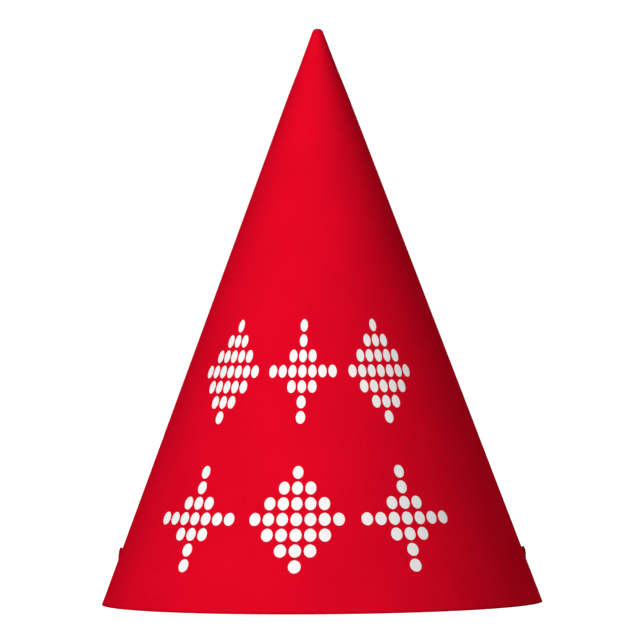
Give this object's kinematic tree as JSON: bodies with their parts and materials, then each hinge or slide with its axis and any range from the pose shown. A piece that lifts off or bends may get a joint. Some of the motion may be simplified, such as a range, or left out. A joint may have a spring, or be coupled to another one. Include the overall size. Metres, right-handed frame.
{
  "type": "party hat",
  "caption": "Cone-shaped card party hat with a dotted ornamental print, a taped back seam and an elastic chin cord knotted through punched holes.",
  "frame": {"origin": "centre of the rim, in the plane that the hat stands on", "axes": "+Z along the cone's axis, from the rim to the tip; the printed front faces -Y, the seam is at +Y, and the cord's two holes are on the X axis"},
  "size_m": [0.1272, 0.1275, 0.1659],
  "materials": {
    "printed_card": "matte",
    "adhesive_tape": "matte",
    "red_elastic": "matte"
  },
  "bodies": {
    "root": {"cone_card": "printed_card", "seam_tape": "adhesive_tape", "elastic_cord": "red_elastic", "knot_left": "red_elastic", "knot_right": "red_elastic"}
  },
  "joints": []
}
